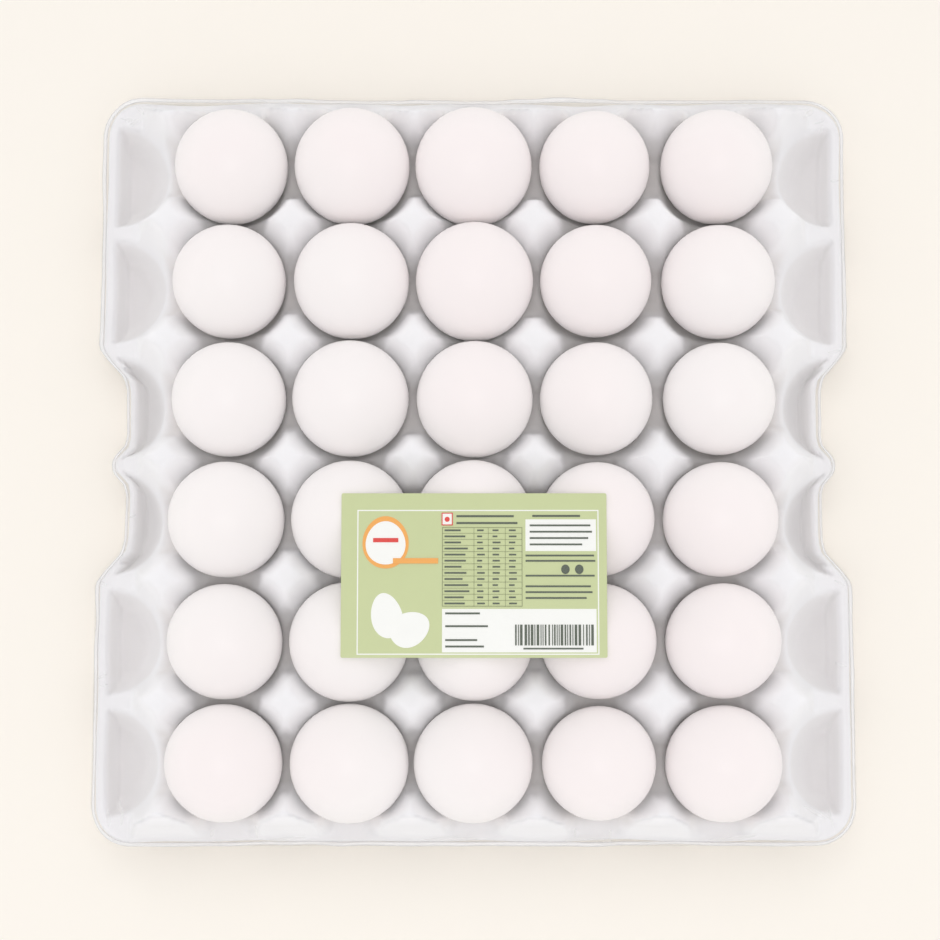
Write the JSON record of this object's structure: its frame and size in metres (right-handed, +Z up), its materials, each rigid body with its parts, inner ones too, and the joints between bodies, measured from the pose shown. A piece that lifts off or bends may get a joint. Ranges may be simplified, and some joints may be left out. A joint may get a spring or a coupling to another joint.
{
  "type": "wrapped egg tray",
  "caption": "Shrink-wrapped moulded pulp egg tray filled with rows of white eggs, blunt ends up, with a printed card lying flat on the eggs under the clear film.",
  "frame": {"origin": "middle of the tray's footprint, on the surface that it stands on", "axes": "+Z up, +X along the columns' numbering to the right, +Y towards row 1 at the back"},
  "size_m": [0.299, 0.299, 0.0626],
  "materials": {
    "pulp": "moulded white paper pulp, matt and slightly fibrous",
    "eggshell": "white hen's eggshell, soft satin",
    "card": "printed card, satin",
    "clear_film": "clear glossy shrink film"
  },
  "bodies": {
    "root": {"tray": "pulp", "egg_r1_c1": "eggshell", "egg_r1_c2": "eggshell", "egg_r1_c3": "eggshell", "egg_r1_c4": "eggshell", "egg_r1_c5": "eggshell", "egg_r2_c1": "eggshell", "egg_r2_c2": "eggshell", "egg_r2_c3": "eggshell", "egg_r2_c4": "eggshell", "egg_r2_c5": "eggshell", "egg_r3_c1": "eggshell", "egg_r3_c2": "eggshell", "egg_r3_c3": "eggshell", "egg_r3_c4": "eggshell", "egg_r3_c5": "eggshell", "egg_r4_c1": "eggshell", "egg_r4_c2": "eggshell", "egg_r4_c3": "eggshell", "egg_r4_c4": "eggshell", "egg_r4_c5": "eggshell", "egg_r5_c1": "eggshell", "egg_r5_c2": "eggshell", "egg_r5_c3": "eggshell", "egg_r5_c4": "eggshell", "egg_r5_c5": "eggshell", "egg_r6_c1": "eggshell", "egg_r6_c2": "eggshell", "egg_r6_c3": "eggshell", "egg_r6_c4": "eggshell", "egg_r6_c5": "eggshell", "label": "card", "film": "clear_film"}
  },
  "joints": []
}
